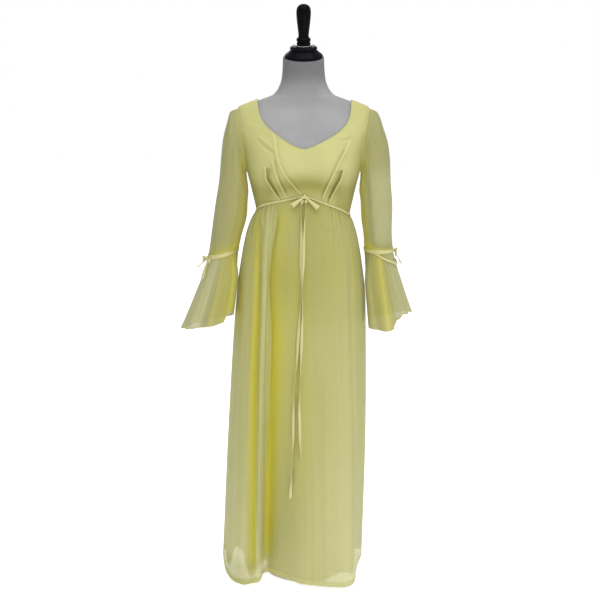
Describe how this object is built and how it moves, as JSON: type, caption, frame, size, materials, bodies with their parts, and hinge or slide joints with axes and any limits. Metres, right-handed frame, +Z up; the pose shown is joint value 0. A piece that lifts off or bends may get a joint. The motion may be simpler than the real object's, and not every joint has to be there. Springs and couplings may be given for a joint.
{
  "type": "bridesmaid dress on dress form",
  "caption": "Sheer empire-line maxi dress with long sleeves, bell flounces and a ribbon waist, standing on a limbless dress form.",
  "frame": {"origin": "centre of the base's underside, under the form's pole", "axes": "+Z up, the dress front faces -Y, +X is at the viewer's right"},
  "size_m": [0.6822, 0.3749, 1.6825],
  "materials": {
    "chiffon": "pale yellow chiffon over an opaque underlining, matt with a soft sheen",
    "sheer_chiffon": "single layer of pale yellow chiffon, see-through",
    "lining": "smooth opaque lining",
    "ribbon": "narrow satin ribbon",
    "zip_nylon": "nylon coil",
    "zip_metal": "enamelled",
    "jersey": "white jersey cover",
    "black_lacquer": "turned, gloss black",
    "steel": "satin steel",
    "base_paint": "satin black"
  },
  "bodies": {
    "dress_and_form": {"bodice_front": "chiffon", "bodice_back_left": "chiffon", "bodice_back_right": "chiffon", "skirt_front": "chiffon", "skirt_back_left": "chiffon", "skirt_back_right": "chiffon", "skirt_lining": "lining", "sleeve_left": "sheer_chiffon", "sleeve_right": "sheer_chiffon", "sleeve_flounce_left": "sheer_chiffon", "sleeve_flounce_right": "sheer_chiffon", "waist_ribbon": "ribbon", "waist_bow": "ribbon", "waist_streamer_left": "ribbon", "waist_streamer_right": "ribbon", "sleeve_ribbon_left": "ribbon", "sleeve_ribbon_right": "ribbon", "sleeve_bow_left": "ribbon", "sleeve_bow_right": "ribbon", "zip_chain": "zip_nylon", "zip_slider": "zip_metal", "form_body": "jersey", "form_cap": "black_lacquer", "form_washer": "steel", "form_handle": "black_lacquer", "form_pole": "steel", "form_base": "base_paint"},
    "pull_tab": {"zip_pull": "zip_metal"}
  },
  "joints": [
    {"name": "zip_pull_hinge", "type": "hinge", "parent": "dress_and_form", "child": "pull_tab", "pos_m": [0, 0.09566, 1.35274], "axis": [1, 0, 0], "range_deg": [0, 150]}
  ]
}
